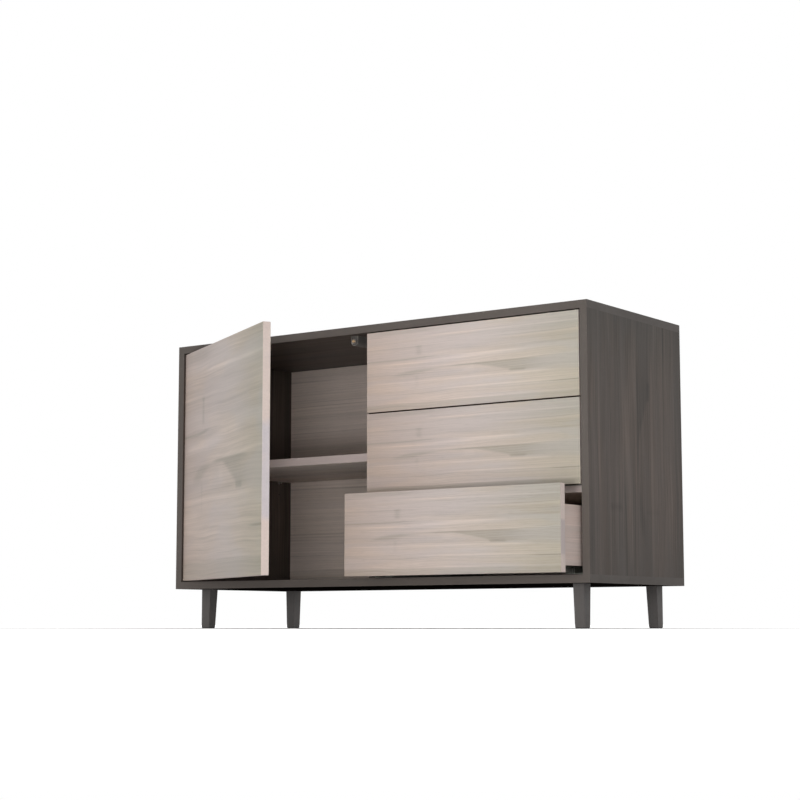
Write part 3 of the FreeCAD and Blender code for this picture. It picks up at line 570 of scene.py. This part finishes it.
LEG = {
    "run": ((0.0, (96, 92, 90)), (0.5, (98, 94, 92)), (1.0, (94, 90, 88))),
    "warm": (98, 92, 89), "cool": (94, 92, 91),
}
BOX = {
    "run": ((0.0, (202, 183, 174)), (0.5, (205, 188, 180)), (1.0, (200, 184, 174))),
    "warm": (207, 184, 173), "cool": (196, 186, 180),
}
# Two colours each of painted shade, standing in for the dark where little light reaches: on the bottom
# panel's underside and on the upper two fronts' lower edges, which the gaps under them show
UNDERSIDE_SHADE = ((30, 26, 24), (20, 17, 16))
LOWER_EDGE_SHADE = ((88, 76, 69), (74, 64, 58))
# How much paler or darker each drawer front is: painted light, the upper fronts paler and the lowest
# darker, as the light falls off downwards
FRONT_PAINTED_LIGHT = {"lower": 0.95, "middle": 0.99, "upper": 1.02}
DARK_CONTRAST = 1.8
DARK_ENDS = 0.8
# The box that the door's figure is fitted to, from its hinge pin and in its own axes
DOOR_LOW = (-0.009, -0.030, 0.119)
DOOR_SIZE = (0.5775, 0.016, 0.575)
# The grain's axes of each piece of a drawer box
BOX_AXES = {"side_left": "YZX", "side_right": "YZX", "back": "XZY", "bottom": "XYZ"}


def carcass_woods():
    """The woods of the carcass's boards and legs, each under its board's name."""
    made = {}
    for side in ("left", "right"):
        name = f"side_panel_{side}"
        made[name] = board_wood(f"side_{side}", name, DARK, "ZYX", edge_axis="X", contrast=DARK_CONTRAST)
    made["vertical_divider"] = board_wood("divider_wood", "vertical_divider", DARK, "ZYX", edge_axis="X",
                                          contrast=DARK_CONTRAST)
    made["top_panel"] = board_wood("top_wood", "top_panel", DARK, "XYZ", edge_axis="Z",
                                   contrast=DARK_CONTRAST, ends=DARK_ENDS)
    # The bottom panel's underside takes painted shade
    made["bottom_panel"] = board_wood("bottom_wood", "bottom_panel", DARK, "XYZ", edge_axis="Z",
                                      underside=UNDERSIDE_SHADE, contrast=DARK_CONTRAST, ends=DARK_ENDS)
    made["back_panel"] = board_wood("back_wood", "back_panel", SHADED, "XzY")
    for name, palette in (("adjustable_shelf", SHADED), ("drawer_divider_lower", DIVIDER),
                          ("drawer_divider_upper", DIVIDER)):
        made[name] = board_wood(f"{name}_wood", name, palette, "XYZ", edge_axis="Z")
    for corner in ("front_left", "front_right", "rear_left", "rear_right"):
        name = f"leg_{corner}"
        made[name] = board_wood(f"{name}_wood", name, LEG, "ZXY", contrast=0.35)
    made["carcass_dowels"] = made["adjustable_shelf"]
    return made


def moving_woods():
    """The woods of the door and the drawers, each under its board's name."""
    made = {"door_panel": wood("door_wood", DOOR, DOOR_LOW, DOOR_SIZE, "XzY", turn=DOOR_TURN, edge_axis="Y",
                               contrast=1.05, lines=0.55)}
    for drawer in DRAWERS:
        name = f"{drawer}_drawer_front"
        # The upper two fronts' lower edges, seen in the gaps under them, take painted shade
        underside = None if drawer == "lower" else LOWER_EDGE_SHADE
        made[name] = board_wood(f"{name}_wood", name, PALE, "XzY", edge_axis="Y", underside=underside,
                                contrast=0.88, lines=0.85, tone=FRONT_PAINTED_LIGHT[drawer])
        for part, axes in BOX_AXES.items():
            name = f"{drawer}_drawer_{part}"
            made[name] = board_wood(f"{name}_wood", name, BOX, axes, contrast=0.6)
    return made


def make_materials():
    """Every material by name: one for each board whose face shows its own figure, and the fittings'."""
    fittings = {
        "slide_steel": metal("slide_steel", (138, 139, 131), 0.45, 0.3, (500.0, 8.0, 500.0)),
        "bright_steel": metal("bright_steel", (196, 195, 192), 0.25),
        "latch_metal": metal("latch_metal", (140, 136, 132), 0.45, 0.5),
        "brass": metal("brass", (206, 176, 138), 0.35, 0.8),
        "glide": plastic("glide", (40, 40, 40), 0.5),
    }
    return {**fittings, **carcass_woods(), **moving_woods()}


# Materials and rounded edges of the CAD nodes

FITTING_FINISHES = {"latch_housing": "latch_metal", "latch_plunger": "brass", "foot_glides": "glide"}
BOARD_ROUND = 0.0005
FITTING_ROUND = 0.0002
ROUND_SEGMENTS = 2
ROUNDED_ANGLE = math.radians(40)


def finish_for(name, made):
    """The material that a CAD node shows."""
    if name in made:
        return made[name]
    if name in FITTING_FINISHES:
        return made[FITTING_FINISHES[name]]
    return made["slide_steel" if "_slide_" in name else "bright_steel"]


def dress_nodes(made):
    """Give every CAD node its material, and its edges a small round."""
    for name, piece in nodes.items():
        piece.data.materials.clear()
        piece.data.materials.append(finish_for(name, made))
        rounding = piece.modifiers.new("edges", "BEVEL")
        rounding.width = BOARD_ROUND if name in made else FITTING_ROUND
        rounding.segments = ROUND_SEGMENTS
        rounding.limit_method = "ANGLE"
        rounding.angle_limit = ROUNDED_ANGLE
        rounding.harden_normals = True


# Small fittings

# Head and shank radius, head height and shank length of each kind of screw
PLATE_SCREW = (0.0036, 0.0019, 0.0018, 0.017)
WOOD_SCREW = (0.0036, 0.0019, 0.0018, 0.013)
ARM_SCREW = (0.0034, 0.0024, 0.0012, 0.008)
SLIDE_SCREW = (0.0040, 0.0020, 0.0018, 0.013)
# The angle between one screw's recess and the next one's, in radians
SCREW_SPIN = 0.7
# Corners of the cross recess in one quarter, in degrees round the head
RECESS_ANGLES = (0.0, 14.0, 30.0, 45.0, 60.0, 76.0)
# Reach and half width of the recess's arms as shares of the head's radius, its narrower floor as a
# share of its mouth, and the depths of both as shares of the head's height
RECESS_ARM_SHARE = 0.56
RECESS_WIDTH_SHARE = 0.14
RECESS_FLOOR_SHARE = 0.45
FLOOR_DEPTH_SHARE = 0.72
MOUTH_DEPTH_SHARE = 0.02
# The domed head from its mouth outward: shares of its radius and of its height
DOME_SHARES = ((0.70, 0.08), (0.88, 0.28), (0.98, 0.6), (1.0, 1.0))
THREAD_PITCH = 0.0016
FEWEST_THREADS = 3
THREAD_ROOT_SHARE = 0.78
THREAD_POINT_SHARE = 0.3
# Where a thread's crest and root lie, as shares of its pitch
THREAD_PLACE_SHARES = (0.25, 0.75)
# Points of one screw's top are level within the first distance and apart by less than the second
LEVEL_REACH = 0.0001
HEAD_REACH = 0.0025
# The latch tip's profile: shares of its radius, and how deep behind its face each of them is
TIP_RADIUS_SHARES = (0.18, 0.20, 0.46, 0.52, 0.58, 0.86, 0.96, 1.0)
TIP_DEPTHS = (0.0012, 0.0006, 0.0006, 0.0003, 0.0, 0.0, 0.0003, 0.0010)
TIP_TAIL_SHARE = 0.92
TIP_TAIL_CHAMFER = 0.0005
TIP_SIDES = 40
SHARP_ANGLE = math.radians(35)
# Stands in for zero where it would divide
TINY = 1e-6


class Pieces:
    """Vertices and faces of one mesh, put together from rings."""

    def __init__(self):
        self.points = []
        self.faces = []

    def ring(self, place, radii, angles, height):
        """A closed ring of points round the z axis of a place; radii is one value or one for each angle."""
        first = len(self.points)
        for index, angle in enumerate(angles):
            radius = radii[index] if isinstance(radii, list) else radii
            local = Vector((radius * math.cos(angle), radius * math.sin(angle), height))
            self.points.append(place @ local)
        return list(range(first, first + len(angles)))

    def join(self, upper, lower):
        """Faces between two rings; the upper one is nearer the head's top."""
        for index in range(len(upper)):
            following = (index + 1) % len(upper)
            self.faces.append((upper[index], lower[index], lower[following], upper[following]))

    def cap(self, ring, top=True):
        """A flat face that closes a ring."""
        self.faces.append(tuple(ring if top else reversed(ring)))

    def lathe(self, place, profile, angles, upper=None):
        """Rings along a profile of radii and heights, from an upper ring or a cap, closed at the end."""
        for radius, height in profile:
            lower = self.ring(place, radius, angles, height)
            if upper:
                self.join(upper, lower)
            else:
                self.cap(lower)
            upper = lower
        self.cap(upper, top=False)

    def piece(self, name, finish, slot, body, replaced):
        """Puts the finished object in place of the CAD node, riding on its body."""
        mesh = bpy.data.meshes.new(name)
        mesh.from_pydata(self.points, [], self.faces)
        mesh.validate()
        mesh.materials.append(finish)
        made = bpy.data.objects.new(name, mesh)
        bpy.context.scene.collection.objects.link(made)
        mesh.shade_smooth()
        mesh.set_sharp_from_angle(angle=SHARP_ANGLE)
        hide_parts(replaced)
        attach(made, body)


def head_tops(node, outward, side):
    """The middle of each screw head's top, found from the CAD node's own points.

    Only the points on one side count: a function of a point says which.
    """
    points = [vertex.co for vertex in nodes[node].data.vertices if side(vertex.co)]
    top = max(point.dot(outward) for point in points)
    loose = [point for point in points if top - point.dot(outward) < LEVEL_REACH]
    tops = []
    while loose:
        group = [loose.pop()]
        for member in group:
            near = [point for point in loose if (point - member).length < HEAD_REACH]
            loose = [point for point in loose if (point - member).length >= HEAD_REACH]
            group.extend(near)
        low = [min(point[axis] for point in group) for axis in range(3)]
        high = [max(point[axis] for point in group) for axis in range(3)]
        tops.append((Vector(low) + Vector(high)) / 2)
    return tops


def recess_mouth(radius, angles, spin):
    """How far the cross recess reaches at each angle round a head."""
    arm, width = radius * RECESS_ARM_SHARE, radius * RECESS_WIDTH_SHARE
    mouth = []
    for angle in angles:
        along, beside = abs(math.cos(angle - spin)), abs(math.sin(angle - spin))
        mouth.append(max(min(arm / max(first, TINY), width / max(second, TINY))
                         for first, second in ((along, beside), (beside, along))))
    return mouth


def add_screw(pieces, top, outward, sizes, spin):
    """One pan-head screw with a tapered cross recess and a thread of shallow rings."""
    radius, shank, head, length = sizes
    place = Matrix.Translation(top) @ outward.to_track_quat("Z", "Y").to_matrix().to_4x4()
    angles = [math.radians(90 * quarter + step) + spin for quarter in range(4) for step in RECESS_ANGLES]
    mouth = recess_mouth(radius, angles, spin)
    floor = pieces.ring(place, [reach * RECESS_FLOOR_SHARE for reach in mouth], angles,
                        -head * FLOOR_DEPTH_SHARE)
    rim = pieces.ring(place, mouth, angles, -head * MOUTH_DEPTH_SHARE)
    pieces.cap(floor)
    pieces.join(floor, rim)
    profile = [(radius * reach, -head * depth) for reach, depth in DOME_SHARES] + [(shank, -head)]
    turns = max(FEWEST_THREADS, round(length / THREAD_PITCH))
    for turn in range(turns):
        crest, root = [-head - length * (turn + share) / (turns + 1) for share in THREAD_PLACE_SHARES]
        profile += [(shank, crest), (shank * THREAD_ROOT_SHARE, root)]
    profile.append((shank * THREAD_POINT_SHARE, -head - length))
    pieces.lathe(place, profile, angles, upper=rim)


def make_screws(made):
    """Screws with domed heads and cross recesses where the CAD nodes have plain ones."""
    door_back = Vector((math.sin(DOOR_TURN), math.cos(DOOR_TURN), 0.0))
    left, right, down = Vector((-1, 0, 0)), Vector((1, 0, 0)), Vector((0, 0, -1))
    middle = sum(corner[0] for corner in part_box("slide_screws")) / 2

    def anywhere(point):
        return True

    def on_right(point):
        return point[0] > middle

    def on_left(point):
        return point[0] < middle

    kinds = (
        ("hinge_plate_screws", "carcass", PLATE_SCREW, "bright_steel", ((right, anywhere),)),
        ("hinge_arm_screws", "carcass", ARM_SCREW, "bright_steel", ((right, anywhere),)),
        ("hinge_cup_screws", "door", WOOD_SCREW, "bright_steel", ((door_back, anywhere),)),
        ("latch_screws", "carcass", WOOD_SCREW, "bright_steel", ((down, anywhere),)),
        ("slide_screws", "carcass", SLIDE_SCREW, "slide_steel", ((left, on_right), (right, on_left))),
    )
    for node, body, sizes, slot, sides in kinds:
        pieces = Pieces()
        for outward, side in sides:
            for index, top in enumerate(head_tops(node, outward, side)):
                add_screw(pieces, top, outward, sizes, SCREW_SPIN * index)
        pieces.piece(f"{node}_detailed", made[slot], slot, body, node)


def make_latch_tip(made):
    """The latch's plunger: a brass pin with a rounded rim and a sunk middle."""
    low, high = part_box("latch_plunger")
    radius = (high[0] - low[0]) / 2
    length = high[1] - low[1]
    middle = (low + high) / 2
    place = Matrix.Translation((middle[0], low[1], middle[2])) @ Matrix.Rotation(math.pi / 2, 4, "X")
    profile = [(radius * share, -depth) for share, depth in zip(TIP_RADIUS_SHARES, TIP_DEPTHS)]
    profile += [(radius, TIP_TAIL_CHAMFER - length), (radius * TIP_TAIL_SHARE, -length)]
    pieces = Pieces()
    pieces.lathe(place, profile, [math.tau * step / TIP_SIDES for step in range(TIP_SIDES)])
    pieces.piece("latch_tip", made["brass"], "brass", "latch", "latch_plunger")


# Studio

FLOOR_HALF = 30.0
FLOOR_BOUNCE = (0.85, 0.85, 0.85, 1.0)
# Over these distances from its middle, the soft shade on the floor gives way to this much added light
SHADE_MIDDLE = (-0.2, 0.0, 0.0)
SHADE_REACH = (0.5, 3.0)
SHADE_LIGHTS = (0.04, 0.84)
# The world's strength as a light, and where the camera or a reflection sees it
WORLD_LIGHT = 0.6
WORLD_SEEN = 1.0
# Place, target, diameter and power of each lamp
LAMPS = {
    "right": ((3.6, -1.2, 1.4), (0.0, 0.0, 0.35), 2.0, 4.0),
    "low": ((0.75, -1.6, 0.06), (0.0, 0.0, 0.45), 0.5, 13.0),
    "overhead": ((-0.2, -0.75, 2.2), (-0.2, -0.75, 0.0), 0.8, 5.0),
    "behind": ((-1.6, 3.0, 2.2), (0.0, 0.0, 0.35), 2.4, 30.0),
}


def make_floor():
    """A white floor: near the object the camera sees its own light and shadow, further off plain white."""
    mesh = bpy.data.meshes.new("floor")
    corners = [(x * FLOOR_HALF, y * FLOOR_HALF, 0) for x, y in ((-1, -1), (1, -1), (1, 1), (-1, 1))]
    mesh.from_pydata(corners, [], [(0, 1, 2, 3)])
    floor = bpy.data.objects.new("floor", mesh)
    bpy.context.scene.collection.objects.link(floor)
    graph = MaterialGraph("floor")
    bounced = graph.add("ShaderNodeBsdfDiffuse", None, {"Color": FLOOR_BOUNCE})
    lit = graph.add("ShaderNodeBsdfDiffuse", None, {"Color": WHITE})
    place = graph.add("ShaderNodeTexCoord", output="Object")
    distance = graph.add("ShaderNodeVectorMath", {"operation": "DISTANCE"}, {0: place, 1: SHADE_MIDDLE},
                         output="Value")
    strength = graph.remap(distance, *SHADE_REACH, *SHADE_LIGHTS)
    glow = graph.add("ShaderNodeEmission", None, {"Color": WHITE, "Strength": strength})
    seen = graph.add("ShaderNodeAddShader", None, {0: lit, 1: glow})
    by_camera = graph.add("ShaderNodeLightPath", output="Is Camera Ray")
    shader = graph.add("ShaderNodeMixShader", None, {0: by_camera, 1: bounced, 2: seen})
    mesh.materials.append(graph.finish(shader))


def make_world():
    """Even light from all round, white where the camera or a reflection sees it."""
    world = bpy.data.worlds.new("studio")
    bpy.context.scene.world = world
    world.use_nodes = True
    graph = Graph(world.node_tree)
    by_camera = graph.add("ShaderNodeLightPath", output="Is Camera Ray")
    by_reflection = graph.add("ShaderNodeLightPath", output="Is Glossy Ray")
    seen = graph.maths("MAXIMUM", by_camera, by_reflection)
    strength = graph.remap(seen, 0.0, 1.0, WORLD_LIGHT, WORLD_SEEN)
    background = graph.add("ShaderNodeBackground", None, {"Color": WHITE, "Strength": strength})
    graph.close("ShaderNodeOutputWorld", background)


def make_lamp(name, place, target, size, energy):
    lamp = bpy.data.lights.new(name, "AREA")
    lamp.shape = "DISK"
    lamp.size = size
    lamp.energy = energy
    holder = bpy.data.objects.new(name, lamp)
    holder.location = place
    holder.rotation_euler = (Vector(target) - Vector(place)).to_track_quat("-Z", "Y").to_euler()
    holder.visible_camera = False
    bpy.context.scene.collection.objects.link(holder)


def make_camera():
    camera = bpy.data.cameras.new("camera")
    camera.lens = CAMERA_LENS
    camera.sensor_width = SENSOR_WIDTH
    camera.clip_end = CAMERA_REACH
    holder = bpy.data.objects.new("camera", camera)
    holder.location = CAMERA_PLACE
    holder.rotation_euler = [math.radians(angle) for angle in CAMERA_TURN]
    bpy.context.scene.collection.objects.link(holder)
    bpy.context.scene.camera = holder


make_camera()
make_world()
make_floor()
for lamp_name, lamp_sizes in LAMPS.items():
    make_lamp(lamp_name, *lamp_sizes)
materials = make_materials()
dress_nodes(materials)
make_screws(materials)
make_latch_tip(materials)
bpy.context.scene.view_settings.view_transform = "Standard"
